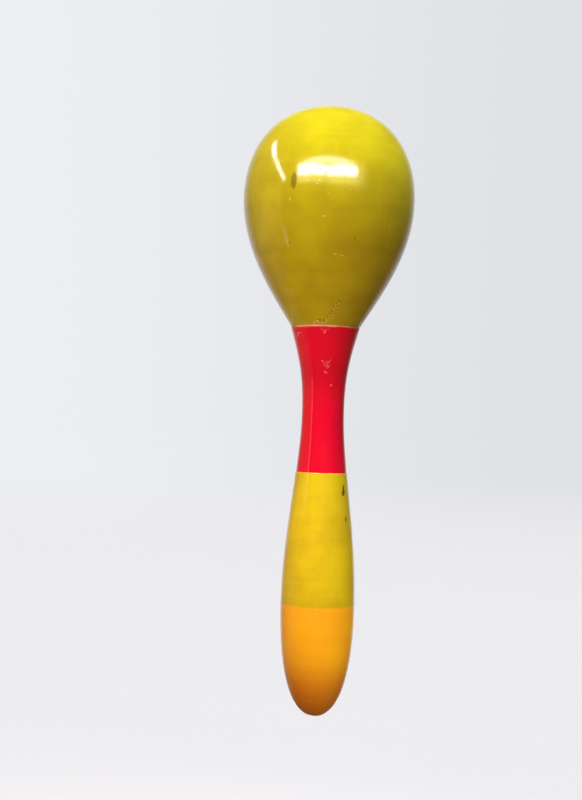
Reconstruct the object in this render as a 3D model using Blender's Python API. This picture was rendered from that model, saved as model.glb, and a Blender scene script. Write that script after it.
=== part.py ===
"""A turned wooden rattle: a hollow egg-shaped head glued on a turned handle, with loose pellets in the head.

Units are metres. +Z runs up the rattle's axis towards the head. The origin lies on the axis in the middle
of the yellow grip band, where a hand closes round the handle. Heights inside a turned piece are measured
from the joint plane, which is the neck's shoulder that carries the head.
"""

import math

import bmesh
import bpy
from mathutils import Vector
from mathutils.geometry import interpolate_bezier

# Head, outside
HEAD_HEIGHT = 0.0598
HEAD_DIAMETER = 0.0463
HEAD_WIDEST_HEIGHT = 0.0348
HEAD_TAPER_ANGLE = math.radians(32.5)
CROWN_FULLNESS_ACROSS = 0.636
CROWN_FULLNESS_DOWN = 0.577
BELLY_FULLNESS = 0.40
TAPER_FULLNESS = 0.29

# Head, inside: a chamber with a round bottom and a bore that takes the handle's tenon
HEAD_SIDE_WALL = 0.0050
HEAD_CROWN_WALL = 0.0060

# Handle: red neck, yellow grip and orange tip, turned in one piece
NECK_TOP_DIAMETER = 0.0183
NECK_FLARE_ANGLE = math.radians(16.5)
NECK_LENGTH = 0.0386
WAIST_DIAMETER = 0.0114
WAIST_DEPTH = 0.0220
GRIP_TOP_DIAMETER = 0.0136
GRIP_TAPER_ANGLE = math.radians(5.3)
GRIP_LENGTH = 0.0350
BUTT_DIAMETER = 0.0198
TIP_LENGTH = 0.0302
CURVE_FULLNESS = 0.40
GRIP_TOP_FULLNESS = 0.18
TIP_FULLNESS_DOWN = 0.67
TIP_FULLNESS_ACROSS = 0.63
LAC_STEP = 0.00015

# Joint between head and handle
SHOULDER_WIDTH = 0.0029
TENON_CLEARANCE = 0.0003
TENON_CHAMFER = 0.0008
HEAD_OVERHANG = 0.0001
RIM_ROUND = 0.0004
GLUE_THICKNESS = 0.00025
GLUE_CLEARANCE = 0.0001

# Pellets, in rings of a hexagon round one at the middle
PELLET_DIAMETER = 0.0050
PELLET_SPACING = 0.0002
PELLET_REST_GAP = 0.0003
PELLET_RINGS = 2

# Facets of the round surfaces
TURNED_SIDES = 48
CURVE_STEPS = 9
ROUND_STEPS = 3
PELLET_SIDES = 12
PELLET_BANDS = 8
MERGE_DISTANCE = 1e-7
SHARP_ANGLE = math.radians(40.0)

# Sizes that follow from those above
HEAD_RADIUS = HEAD_DIAMETER / 2
NECK_TOP_RADIUS = NECK_TOP_DIAMETER / 2
WAIST_RADIUS = WAIST_DIAMETER / 2
GRIP_TOP_RADIUS = GRIP_TOP_DIAMETER / 2
BUTT_RADIUS = BUTT_DIAMETER / 2
PELLET_RADIUS = PELLET_DIAMETER / 2
JOINT_HEIGHT = GRIP_LENGTH / 2 + NECK_LENGTH
TENON_RADIUS = NECK_TOP_RADIUS - SHOULDER_WIDTH
BORE_RADIUS = TENON_RADIUS + TENON_CLEARANCE
GLUE_BOTTOM = GLUE_CLEARANCE
GLUE_TOP = GLUE_BOTTOM + GLUE_THICKNESS
GLUE_RADIUS = NECK_TOP_RADIUS - RIM_ROUND
HEAD_BOTTOM = GLUE_TOP + GLUE_CLEARANCE
HEAD_END_RADIUS = NECK_TOP_RADIUS + HEAD_OVERHANG
CHAMBER_RADIUS = HEAD_RADIUS - HEAD_SIDE_WALL
CHAMBER_RISE = HEAD_HEIGHT - HEAD_CROWN_WALL - HEAD_WIDEST_HEIGHT
CHAMBER_FLOOR = HEAD_WIDEST_HEIGHT - math.sqrt(CHAMBER_RADIUS**2 - BORE_RADIUS**2)

# Colours of the lac and of the bare pieces, with their roughness
FINISHES = {
    "yellow_lac": ((0.66, 0.47, 0.02), 0.18),
    "red_lac": ((0.72, 0.01, 0.02), 0.20),
    "orange_lac": ((0.78, 0.30, 0.01), 0.28),
    "cured_glue": ((0.80, 0.62, 0.45), 0.45),
    "pellet_wood": ((0.50, 0.33, 0.18), 0.60),
}


def finish(name):
    """A Principled material with one of the finishes above."""
    colour, roughness = FINISHES[name]
    material = bpy.data.materials.new(name)
    material.use_nodes = True
    shader = material.node_tree.nodes["Principled BSDF"]
    shader.inputs["Base Color"].default_value = (*colour, 1.0)
    shader.inputs["Roughness"].default_value = roughness
    shader.inputs["Metallic"].default_value = 0.0
    return material


def bend(start, start_handle, end_handle, end, steps=CURVE_STEPS):
    """Points (radius, height) along one Bezier stretch, with both of its ends."""
    ends = [Vector((radius, height)) for radius, height in (start, start_handle, end_handle, end)]
    return [(point.x, point.y) for point in interpolate_bezier(*ends, steps + 1)]


def arc(centre, reach_across, reach_up, first_angle, last_angle, steps):
    """Points (radius, height) along a stretch of an ellipse, with both of its ends."""
    across, up = centre
    angles = [first_angle + (last_angle - first_angle) * step / steps for step in range(steps + 1)]
    return [(across + reach_across * math.cos(angle), up + reach_up * math.sin(angle)) for angle in angles]


def joined(*stretches):
    """One line through all the stretches, with each shared end kept once."""
    line = list(stretches[0])
    for stretch in stretches[1:]:
        shared = math.dist(line[-1], stretch[0]) < MERGE_DISTANCE
        line += stretch[1:] if shared else stretch
    return line


def head_outside():
    """The egg from the crown to the edge of its end face."""
    rise = HEAD_HEIGHT - HEAD_WIDEST_HEIGHT
    drop = HEAD_WIDEST_HEIGHT - HEAD_BOTTOM
    end_handle = (
        HEAD_END_RADIUS + TAPER_FULLNESS * drop * math.sin(HEAD_TAPER_ANGLE),
        HEAD_BOTTOM + TAPER_FULLNESS * drop * math.cos(HEAD_TAPER_ANGLE),
    )
    crown = bend(
        (0.0, HEAD_HEIGHT),
        (CROWN_FULLNESS_ACROSS * HEAD_RADIUS, HEAD_HEIGHT),
        (HEAD_RADIUS, HEAD_WIDEST_HEIGHT + CROWN_FULLNESS_DOWN * rise),
        (HEAD_RADIUS, HEAD_WIDEST_HEIGHT),
    )
    belly = bend(
        (HEAD_RADIUS, HEAD_WIDEST_HEIGHT),
        (HEAD_RADIUS, HEAD_WIDEST_HEIGHT - BELLY_FULLNESS * drop),
        end_handle,
        (HEAD_END_RADIUS, HEAD_BOTTOM),
    )
    return joined(crown, belly)


def head_inside():
    """The bore from the end face up, then the chamber's round bottom and its dome."""
    floor_angle = -math.acos(BORE_RADIUS / CHAMBER_RADIUS)
    middle = (0.0, HEAD_WIDEST_HEIGHT)
    bottom = arc(middle, CHAMBER_RADIUS, CHAMBER_RADIUS, floor_angle, 0.0, CURVE_STEPS)
    dome = arc(middle, CHAMBER_RADIUS, CHAMBER_RISE, 0.0, math.pi / 2, CURVE_STEPS)
    dome[-1] = (0.0, HEAD_WIDEST_HEIGHT + CHAMBER_RISE)
    return joined([(BORE_RADIUS, HEAD_BOTTOM)], bottom, dome)


def handle_outline():
    """The tenon, the shoulder, the neck, the grip and the tip, from the tenon's end to the tip."""
    grip_top = -NECK_LENGTH
    grip_bottom = grip_top - GRIP_LENGTH
    tip_end = grip_bottom - TIP_LENGTH
    neck_reach = CURVE_FULLNESS * WAIST_DEPTH
    waist_reach = CURVE_FULLNESS * (NECK_LENGTH - WAIST_DEPTH)
    grip_reach = GRIP_TOP_FULLNESS * GRIP_LENGTH
    grip_slope = math.tan(GRIP_TAPER_ANGLE)
    coat_radius = GRIP_TOP_RADIUS + LAC_STEP
    tenon = [
        (0.0, CHAMBER_FLOOR),
        (TENON_RADIUS - TENON_CHAMFER, CHAMBER_FLOOR),
        (TENON_RADIUS, CHAMBER_FLOOR - TENON_CHAMFER),
        (TENON_RADIUS, 0.0),
    ]
    rim_middle = (NECK_TOP_RADIUS - RIM_ROUND, -RIM_ROUND)
    rim = arc(rim_middle, RIM_ROUND, RIM_ROUND, math.pi / 2, 0.0, ROUND_STEPS)
    upper_neck = bend(
        (NECK_TOP_RADIUS, -RIM_ROUND),
        (
            NECK_TOP_RADIUS - neck_reach * math.sin(NECK_FLARE_ANGLE),
            -RIM_ROUND - neck_reach * math.cos(NECK_FLARE_ANGLE),
        ),
        (WAIST_RADIUS, neck_reach - WAIST_DEPTH),
        (WAIST_RADIUS, -WAIST_DEPTH),
    )
    lower_neck = bend(
        (WAIST_RADIUS, -WAIST_DEPTH),
        (WAIST_RADIUS, -WAIST_DEPTH - waist_reach),
        (GRIP_TOP_RADIUS - grip_slope * waist_reach, grip_top + waist_reach),
        (GRIP_TOP_RADIUS, grip_top),
    )
    grip = bend(
        (coat_radius, grip_top),
        (coat_radius + grip_slope * grip_reach, grip_top - grip_reach),
        (BUTT_RADIUS, grip_bottom + CURVE_FULLNESS * GRIP_LENGTH),
        (BUTT_RADIUS, grip_bottom),
    )
    tip = bend(
        (BUTT_RADIUS, grip_bottom),
        (BUTT_RADIUS, grip_bottom - TIP_FULLNESS_DOWN * TIP_LENGTH),
        (TIP_FULLNESS_ACROSS * BUTT_RADIUS, tip_end),
        (0.0, tip_end),
    )
    return joined(tenon, rim, upper_neck, lower_neck, grip, tip)


def turned(name, outline, materials, parent, closed=False, band_of=None):
    """A piece turned about the axis from its half outline, with its colour bands by height.

    An open outline starts and ends on the axis. A closed one goes round the section of a ring.
    """
    shape = bmesh.new()
    points = [shape.verts.new((radius, 0.0, height)) for radius, height in outline]
    pairs = zip(points, points[1:] + points[:1]) if closed else zip(points, points[1:])
    edges = [shape.edges.new(pair) for pair in pairs]
    bmesh.ops.spin(
        shape,
        geom=points + edges,
        cent=(0.0, 0.0, 0.0),
        axis=(0.0, 0.0, 1.0),
        angle=math.tau,
        steps=TURNED_SIDES,
        use_merge=True,
    )
    bmesh.ops.remove_doubles(shape, verts=shape.verts, dist=MERGE_DISTANCE)
    bmesh.ops.recalc_face_normals(shape, faces=shape.faces)
    for face in shape.faces:
        face.material_index = band_of(face.calc_center_median().z) if band_of else 0
    return placed(name, shape, materials, parent, (0.0, 0.0, JOINT_HEIGHT))


def placed(name, shape, materials, parent, location):
    """The shape as a smooth named object under its parent."""
    mesh = bpy.data.meshes.new(name)
    shape.to_mesh(mesh)
    shape.free()
    mesh.shade_smooth()
    mesh.set_sharp_from_angle(angle=SHARP_ANGLE)
    for material in materials:
        mesh.materials.append(material)
    piece = bpy.data.objects.new(name, mesh)
    bpy.context.scene.collection.objects.link(piece)
    piece.parent = parent
    piece.location = location
    return piece


def handle_band(height):
    """Which of the red, yellow and orange bands a height on the handle lies in."""
    if height > -NECK_LENGTH:
        return 0
    return 1 if height > -NECK_LENGTH - GRIP_LENGTH else 2


def make_head(parent, yellow):
    """The hollow head, open at the bore in its end face."""
    outline = joined(head_outside(), head_inside())
    return turned("head_shell", outline, [yellow], parent)


def make_handle(parent, red, yellow, orange):
    """The handle, whose tenon closes the head's bore and floors its chamber."""
    return turned("handle", handle_outline(), [red, yellow, orange], parent, band_of=handle_band)


def make_glue_line(parent, glue):
    """The film of cured glue between the neck's shoulder and the head's end face."""
    section = [
        (GLUE_RADIUS, GLUE_TOP),
        (GLUE_RADIUS, GLUE_BOTTOM),
        (BORE_RADIUS, GLUE_BOTTOM),
        (BORE_RADIUS, GLUE_TOP),
    ]
    return turned("glue_line", section, [glue], parent, closed=True)


def pellet_columns():
    """Places (x, y) of the upright columns that the pellets rise in, ring by ring of a hexagon."""
    pitch = PELLET_DIAMETER + PELLET_SPACING
    columns = [Vector((0.0, 0.0))]
    for ring in range(1, PELLET_RINGS + 1):
        corners = [
            ring * pitch * Vector((math.cos(turn * math.pi / 3), math.sin(turn * math.pi / 3)))
            for turn in range(6)
        ]
        for corner, following in zip(corners, corners[1:] + corners[:1]):
            columns += [corner.lerp(following, step / ring) for step in range(ring)]
    reach = CHAMBER_RADIUS - PELLET_RADIUS - PELLET_REST_GAP
    return [column for column in columns if column.length < reach - PELLET_REST_GAP]


def pellet_rest_height(column):
    """Height of a pellet's middle where it lies on the tenon's end or on the chamber's round bottom."""
    reach = CHAMBER_RADIUS - PELLET_RADIUS - PELLET_REST_GAP
    on_tenon = CHAMBER_FLOOR + PELLET_REST_GAP + PELLET_RADIUS
    on_bottom = HEAD_WIDEST_HEIGHT - math.sqrt(reach**2 - column.length_squared)
    return max(on_tenon, on_bottom)


def make_pellets(parent, wood):
    """The loose pellets at rest on the chamber's floor, each an object of its own."""
    for number, column in enumerate(pellet_columns(), start=1):
        shape = bmesh.new()
        bmesh.ops.create_uvsphere(
            shape, u_segments=PELLET_SIDES, v_segments=PELLET_BANDS, radius=PELLET_RADIUS
        )
        middle = (column.x, column.y, JOINT_HEIGHT + pellet_rest_height(column))
        placed(f"pellet_{number:02d}", shape, [wood], parent, middle)


def build():
    """Clears the scene and makes the rattle."""
    for old in list(bpy.data.objects):
        bpy.data.objects.remove(old)
    rattle = bpy.data.objects.new("rattle", None)
    bpy.context.scene.collection.objects.link(rattle)
    finishes = {name: finish(name) for name in FINISHES}
    make_head(rattle, finishes["yellow_lac"])
    make_handle(rattle, finishes["red_lac"], finishes["yellow_lac"], finishes["orange_lac"])
    make_glue_line(rattle, finishes["cured_glue"])
    make_pellets(rattle, finishes["pellet_wood"])


if __name__ == "__main__":
    build()
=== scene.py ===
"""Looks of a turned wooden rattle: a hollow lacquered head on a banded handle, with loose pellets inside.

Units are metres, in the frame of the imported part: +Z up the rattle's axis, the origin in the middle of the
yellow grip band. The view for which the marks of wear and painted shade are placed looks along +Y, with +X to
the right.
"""

from __future__ import annotations

import logging
import math
import random
from collections.abc import Callable, Sequence
from dataclasses import dataclass
from enum import Enum
from typing import Any

import bmesh
import bpy
from mathutils import Euler, Matrix, Vector
from mathutils.geometry import interpolate_bezier

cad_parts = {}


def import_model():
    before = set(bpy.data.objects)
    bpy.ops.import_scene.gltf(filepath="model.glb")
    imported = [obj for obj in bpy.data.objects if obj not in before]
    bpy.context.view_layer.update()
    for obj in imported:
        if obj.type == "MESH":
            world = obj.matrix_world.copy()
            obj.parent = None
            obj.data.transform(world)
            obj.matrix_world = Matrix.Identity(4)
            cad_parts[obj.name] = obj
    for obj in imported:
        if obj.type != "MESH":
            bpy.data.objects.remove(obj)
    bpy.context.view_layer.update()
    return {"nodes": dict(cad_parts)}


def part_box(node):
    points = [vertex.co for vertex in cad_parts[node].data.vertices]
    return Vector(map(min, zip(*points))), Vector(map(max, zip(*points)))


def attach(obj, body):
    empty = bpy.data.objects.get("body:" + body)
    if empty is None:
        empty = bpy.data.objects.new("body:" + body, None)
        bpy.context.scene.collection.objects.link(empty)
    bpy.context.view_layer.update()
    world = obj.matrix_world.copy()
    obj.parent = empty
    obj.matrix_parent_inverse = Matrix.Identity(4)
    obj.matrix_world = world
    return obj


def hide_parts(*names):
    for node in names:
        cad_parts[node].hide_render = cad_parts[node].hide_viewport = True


LOG = logging.getLogger("rattle")

Point = tuple[float, float]
Colour = tuple[float, float, float]
Socket = bpy.types.NodeSocket
Tree = bpy.types.NodeTree
Material = bpy.types.Material
Shape = bmesh.types.BMesh
Piece = bpy.types.Object

TURNED_SIDES = 160
CURVE_STEPS = 36
MERGE_DISTANCE = 1e-7
SHARP_ANGLE = math.radians(40.0)
MICRON = 1e-6


class Surface(Enum):
    """Material slots of a turned piece."""

    LAC = 0
    BARE_WOOD = 1


class LampReach(Enum):
    """What a lamp acts on: the body colour, or the gloss on it."""

    COLOUR = "colour"
    GLOSS = "gloss"


@dataclass(frozen=True)
class Stretch:
    """One run of a turned outline.

    Attributes:
        points: (radius, height) from its start to its end.
        surface: what the run is finished with.
    """

    points: tuple[Point, ...]
    surface: Surface = Surface.LAC


def bend(start: Point, start_handle: Point, end_handle: Point, end: Point) -> list[Point]:
    """Points along one Bezier run.

    Args:
        start: first point, as (radius, height).
        start_handle: handle of the first point.
        end_handle: handle of the last point.
        end: last point.

    Returns:
        The points with both ends.
    """
    corners = [Vector(corner) for corner in (start, start_handle, end_handle, end)]
    return [(point.x, point.y) for point in interpolate_bezier(*corners, CURVE_STEPS + 1)]


def arc(
    centre: Point, across: float, up: float, first: float, last: float, steps: int = CURVE_STEPS
) -> list[Point]:
    """Points along part of an ellipse.

    Args:
        centre: the ellipse's middle, as (radius, height).
        across: its half width.
        up: its half height.
        first: angle of the first point, from the outward direction upwards.
        last: angle of the last point.
        steps: spans that the run is cut into.

    Returns:
        The points with both ends.
    """
    turns = [first + (last - first) * step / steps for step in range(steps + 1)]
    return [(centre[0] + across * math.cos(turn), centre[1] + up * math.sin(turn)) for turn in turns]


def turned_mesh(stretches: Sequence[Stretch]) -> Shape:
    """Spins an outline about the axis.

    Args:
        stretches: runs that follow each other from end to end.

    Returns:
        A closed mesh whose faces point outwards, with the runs' material slots.
    """
    shape = bmesh.new()
    for stretch in stretches:
        made_before = set(shape.faces)
        points = [shape.verts.new((radius, 0.0, height)) for radius, height in stretch.points]
        edges = [shape.edges.new(pair) for pair in zip(points, points[1:])]
        bmesh.ops.spin(
            shape,
            geom=points + edges,
            cent=(0.0, 0.0, 0.0),
            axis=(0.0, 0.0, 1.0),
            angle=math.tau,
            steps=TURNED_SIDES,
            use_merge=True,
        )
        for face in set(shape.faces) - made_before:
            face.material_index = stretch.surface.value
    bmesh.ops.remove_doubles(shape, verts=shape.verts, dist=MERGE_DISTANCE)
    bmesh.ops.recalc_face_normals(shape, faces=shape.faces)
    return shape


def piece_of(name: str, shape: Shape, materials: Sequence[Material]) -> Piece:
    """Makes a smooth object of a finished mesh, at the origin.

    Args:
        name: the piece's name.
        shape: its mesh, which is freed.
        materials: its material slots in order.

    Returns:
        The linked object.
    """
    mesh = bpy.data.meshes.new(name)
    shape.to_mesh(mesh)
    shape.free()
    mesh.shade_smooth()
    mesh.set_sharp_from_angle(angle=SHARP_ANGLE)
    for material in materials:
        mesh.materials.append(material)
    piece = bpy.data.objects.new(name, mesh)
    bpy.context.scene.collection.objects.link(piece)
    return piece


class NodeSketch:
    """Draws shader nodes in one tree, with a short call for each kind that this file uses."""

    def __init__(self, tree: Tree) -> None:
        """Keeps the tree that the nodes go into."""
        self.tree = tree

    def feed(self, socket: Socket, value: Any) -> None:
        """Gives an input what it reads.

        Args:
            socket: the input.
            value: a socket to link it to, or a value to set it to.
        """
        if isinstance(value, Socket):
            self.tree.links.new(value, socket)
        else:
            socket.default_value = value

    def add(self, kind: str, *values: Any, **settings: Any) -> bpy.types.Node:
        """Adds a node.

        Args:
            kind: the node's type without its ShaderNode prefix.
            values: numbers or sockets for its first inputs, in order.
            settings: attributes to set on it.

        Returns:
            The new node.
        """
        node = self.tree.nodes.new("ShaderNode" + kind)
        for name, value in settings.items():
            setattr(node, name, value)
        for socket, value in zip(node.inputs, values):
            self.feed(socket, value)
        return node

    def math(self, operation: str, *values: Any, clamp: bool = False) -> Socket:
        """One step of arithmetic on numbers or sockets, kept between 0 and 1 if it is clamped."""
        return self.add("Math", *values, operation=operation, use_clamp=clamp).outputs[0]

    def vector(self, operation: str, *values: Any) -> Socket:
        """One step of vector arithmetic whose result is a vector."""
        return self.add("VectorMath", *values, operation=operation).outputs[0]

    def stretched(self, vector: Socket, *factors: Any) -> Socket:
        """A vector whose X, Y and Z are each multiplied by their own factor."""
        return self.vector("MULTIPLY", vector, self.add("CombineXYZ", *factors).outputs[0])

    def parts(self, vector: Socket) -> tuple[Socket, ...]:
        """The X, Y and Z sockets of a vector."""
        return tuple(self.add("SeparateXYZ", vector).outputs)

    def step(self, value: Any, low: Any, high: Any) -> Socket:
        """A smooth step from 0, where the value is low, to 1, where it is high."""
        return self.add("MapRange", value, low, high, interpolation_type="SMOOTHSTEP").outputs[0]

    def total(self, *values: Socket) -> Socket:
        """Adds up masks, kept between 0 and 1.

        Args:
            values: the masks' sockets.

        Returns:
            The sum's socket.
        """
        result = values[0]
        for value in values[1:]:
            result = self.math("ADD", result, value, clamp=True)
        return result

    def noise(self, vector: Socket, scale: Any, detail: float, roughness: float = 0.5) -> Socket:
        """A noise value between 0 and 1.

        Args:
            vector: where it is read.
            scale: features per unit of the vector.
            detail: octaves.
            roughness: weight of the fine octaves.

        Returns:
            The value's socket.
        """
        node = self.add("TexNoise", vector)
        for name, value in (("Scale", scale), ("Detail", detail), ("Roughness", roughness)):
            self.feed(node.inputs[name], value)
        return node.outputs[0]

    def mix(self, factor: Any, first: Any, second: Any) -> Socket:
        """Mixes two colours.

        Args:
            factor: share of the second.
            first: a colour or a socket.
            second: a colour or a socket.

        Returns:
            The mixed colour's socket.
        """
        node = self.add("Mix", factor, data_type="RGBA")
        for socket, value in ((node.inputs[6], first), (node.inputs[7], second)):
            self.feed(socket, (*value, 1.0) if isinstance(value, tuple) else value)
        return node.outputs[2]


class Dressing(NodeSketch):
    """The nodes of one material, from its coordinates to its shader.

    Attributes:
        material: the material.
        shader: the inputs of its shader.
        coordinates: the socket of a place on the piece, in metres.
    """

    def __init__(self, name: str) -> None:
        """Makes the material.

        Args:
            name: the material's name.
        """
        self.material = bpy.data.materials.new(name)
        self.material.use_nodes = True
        super().__init__(self.material.node_tree)
        self.shader = self.tree.nodes["Principled BSDF"].inputs
        self.coordinates = self.add("TexCoord").outputs["Object"]

    def cover(self, colour: Socket, rough: Socket, height: Socket) -> Material:
        """Gives the shader its surface.

        Args:
            colour: of the surface.
            rough: its roughness.
            height: its relief, in microns.

        Returns:
            The finished material.
        """
        bump = self.add("Bump")
        bump.inputs["Distance"].default_value = MICRON
        self.feed(bump.inputs["Height"], height)
        for name, value in (("Base Color", colour), ("Roughness", rough), ("Normal", bump.outputs[0])):
            self.feed(self.shader[name], value)
        return self.material


class Effects:
    """Node groups that the finishes share. Each is built once and puts out one value.

    Attributes:
        lathe_rings: fine rings round the axis.
        wood_grain: streaks along the axis.
        smudges: broad soft patches.
        specks: scattered dots.
        mark: one mark of wear or of painted shade.
    """

    SMALLEST_SPECK = 0.4
    RAGGED_REACH = 4.0

    def __init__(self) -> None:
        """Builds the groups."""
        self.lathe_rings = self._group("lathe_rings", {"Rings": 420.0, "Drift": 25.0}, self._lathe_rings)
        self.wood_grain = self._group("wood_grain", {"Lines": 1100.0, "Length": 45.0}, self._wood_grain)
        self.smudges = self._group("smudges", {"Scale": 90.0}, self._smudges)
        self.specks = self._group("specks", {"Scale": 160.0, "Size": 0.00012, "Share": 0.3}, self._specks)
        mark_inputs = {"Across": 0.0, "Height": 0.0, "Long": 0.001, "Wide": 0.001, "Tilt": 0.0}
        mark_inputs |= {"Ragged": 0.3, "Broken": 0.0, "Between": 0.0}
        self.mark = self._group("mark", mark_inputs, self._mark)

    @staticmethod
    def _group(name: str, inputs: dict[str, float], draw: Callable[..., Socket]) -> Tree:
        """Builds one group.

        Args:
            name: the group's name.
            inputs: its number inputs with their defaults. A Vector input is added before them.
            draw: draws the nodes between the inputs and the value that is put out.

        Returns:
            The group's tree.
        """
        tree = bpy.data.node_groups.new(name, "ShaderNodeTree")
        tree.interface.new_socket("Vector", in_out="INPUT", socket_type="NodeSocketVector")
        for label, value in inputs.items():
            socket = tree.interface.new_socket(label, in_out="INPUT", socket_type="NodeSocketFloat")
            socket.default_value = value
        tree.interface.new_socket("Value", in_out="OUTPUT", socket_type="NodeSocketFloat")
        entry = tree.nodes.new("NodeGroupInput")
        leave = tree.nodes.new("NodeGroupOutput")
        sockets = {socket.name.lower(): socket for socket in entry.outputs if socket.name}
        tree.links.new(draw(NodeSketch(tree), **sockets), leave.inputs[0])
        return tree

    @staticmethod
    def place(sketch: NodeSketch, tree: Tree, vector: Socket, **values: float) -> Socket:
        """Puts a group into a material.

        Args:
            sketch: the material's nodes.
            tree: the group.
            vector: where it is read.
            values: its other inputs, by their names in lower case.

        Returns:
            The socket of the value that it puts out.
        """
        node = sketch.add("Group", vector, node_tree=tree)
        for name, value in values.items():
            sketch.feed(node.inputs[name.capitalize()], value)
        return node.outputs[0]

    @staticmethod
    def _lathe_rings(sketch: NodeSketch, vector: Socket, rings: Socket, drift: Socket) -> Socket:
        """Fine rings that the lac stick leaves round the axis."""
        return sketch.noise(sketch.stretched(vector, drift, drift, rings), 1.0, detail=4.0, roughness=0.6)

    @staticmethod
    def _wood_grain(sketch: NodeSketch, vector: Socket, lines: Socket, length: Socket) -> Socket:
        """Streaks of grain along the axis."""
        fine = sketch.noise(sketch.stretched(vector, lines, lines, length), 1.0, detail=5.0, roughness=0.65)
        return sketch.step(fine, low=0.42, high=0.72)

    @staticmethod
    def _smudges(sketch: NodeSketch, vector: Socket, scale: Socket) -> Socket:
        """Broad soft patches, as handling leaves on a gloss."""
        return sketch.step(sketch.noise(vector, scale, detail=3.0, roughness=0.55), low=0.3, high=0.7)

    @staticmethod
    def _specks(sketch: NodeSketch, vector: Socket, scale: Socket, size: Socket, share: Socket) -> Socket:
        """Scattered dots, one in some of the cells of a Voronoi pattern.

        Args:
            sketch: the group's nodes.
            vector: where they are read.
            scale: cells per metre.
            size: radius of a dot, about.
            share: of the cells that hold a dot.

        Returns:
            The mask's socket.
        """
        cells = sketch.add("TexVoronoi", vector)
        sketch.feed(cells.inputs["Scale"], scale)
        chance, growth, _ = sketch.parts(cells.outputs["Color"])
        grown = sketch.math("ADD", growth, Effects.SMALLEST_SPECK)
        reach = sketch.math("MULTIPLY", sketch.math("MULTIPLY", size, scale), grown)
        dot = sketch.math("LESS_THAN", cells.outputs["Distance"], reach)
        return sketch.math("MULTIPLY", dot, sketch.math("LESS_THAN", chance, share))

    @staticmethod
    def _mark(
        sketch: NodeSketch,
        vector: Socket,
        across: Socket,
        height: Socket,
        long: Socket,
        wide: Socket,
        tilt: Socket,
        ragged: Socket,
        broken: Socket,
        between: Socket,
    ) -> Socket:
        """One ragged oval mark on the front of the piece, seen along +Y, whole or broken into dots.

        Args:
            sketch: the group's nodes.
            vector: where it is read.
            across: how far right of the axis it lies.
            height: its height above the frame's origin.
            long: half its length.
            wide: half its width.
            tilt: its length's angle from level.
            ragged: how uneven its edge is.
            broken: how far it falls apart into dots.
            between: 1 where its dots lie between those of another mark.

        Returns:
            The mask's socket.
        """
        x, y, z = sketch.parts(vector)
        right = sketch.math("SUBTRACT", x, across)
        up = sketch.math("SUBTRACT", z, height)
        cos, sin = sketch.math("COSINE", tilt), sketch.math("SINE", tilt)
        along = sketch.math("ADD", sketch.math("MULTIPLY", right, cos), sketch.math("MULTIPLY", up, sin))
        aside = sketch.math("SUBTRACT", sketch.math("MULTIPLY", up, cos), sketch.math("MULTIPLY", right, sin))
        far_along = sketch.math("POWER", sketch.math("ABSOLUTE", sketch.math("DIVIDE", along, long)), 2.0)
        far_aside = sketch.math("POWER", sketch.math("ABSOLUTE", sketch.math("DIVIDE", aside, wide)), 2.0)
        uneven = sketch.math("SUBTRACT", sketch.noise(vector, scale=4200.0, detail=2.0), 0.5)
        edge = sketch.math("MULTIPLY", ragged, Effects.RAGGED_REACH)
        edge = sketch.math("MULTIPLY_ADD", uneven, edge, 1.0)
        reach = sketch.math("SUBTRACT", edge, sketch.math("ADD", far_along, far_aside))
        oval = sketch.step(reach, low=0.0, high=0.6)
        whole = sketch.math("MULTIPLY", oval, sketch.math("LESS_THAN", y, 0.0))
        dots = sketch.step(sketch.noise(vector, scale=2600.0, detail=1.0), low=0.47, high=0.57)
        dots = sketch.math("ABSOLUTE", sketch.math("SUBTRACT", dots, between))
        share = sketch.math("MULTIPLY", broken, sketch.math("SUBTRACT", dots, 1.0))
        return sketch.math("MULTIPLY_ADD", whole, share, whole)


@dataclass(frozen=True)
class Mark:
    """A mark of wear, or of painted shade in a dent, on the front of a piece.

    Attributes:
        across: how far right of the axis it lies.
        height: its height above the frame's origin.
        long: half its length.
        wide: half its width.
        tilt: its length's angle from level, in degrees.
        ragged: how uneven its edge is, from 0 to 1.
        broken: how far it falls apart into dots, from 0 to 1.
        between: whether its dots lie between those of another mark.
    """

    across: float
    height: float
    long: float
    wide: float
    tilt: float
    ragged: float = 0.3
    broken: float = 0.0
    between: bool = False

    def draw(self, sketch: NodeSketch, effects: Effects, vector: Socket) -> Socket:
        """Puts the mark into a material.

        Args:
            sketch: the material's nodes.
            effects: the shared groups.
            vector: where it is read.

        Returns:
            The mask's socket.
        """
        values = {name: float(value) for name, value in vars(self).items()}
        values["tilt"] = math.radians(self.tilt)
        return effects.place(sketch, effects.mark, vector, **values)


@dataclass(frozen=True)
class LacFinish:
    """One colour of lac, as it lies on the wood.

    Attributes:
        colour: of the coat.
        shade: the darker colour that rings, grain, smudges and painted shade take the coat towards.
        gloss: roughness of the coat where it is clean.
        smudged: roughness that handling adds.
        uneven: how far rings, grain and smudges take it towards the shade.
        thick: painted shade in bands along the axis: the height of a band, how far above and below it fades
            out, and how far it takes the colour towards the shade there. Below 0, it is painted light
            instead, which takes the colour away from the shade.
    """

    colour: Colour
    shade: Colour
    gloss: float
    smudged: float
    uneven: float
    thick: tuple[tuple[float, float, float], ...]


# Painted shade and light on the head: darker towards its underside, lighter towards the crown.
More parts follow.
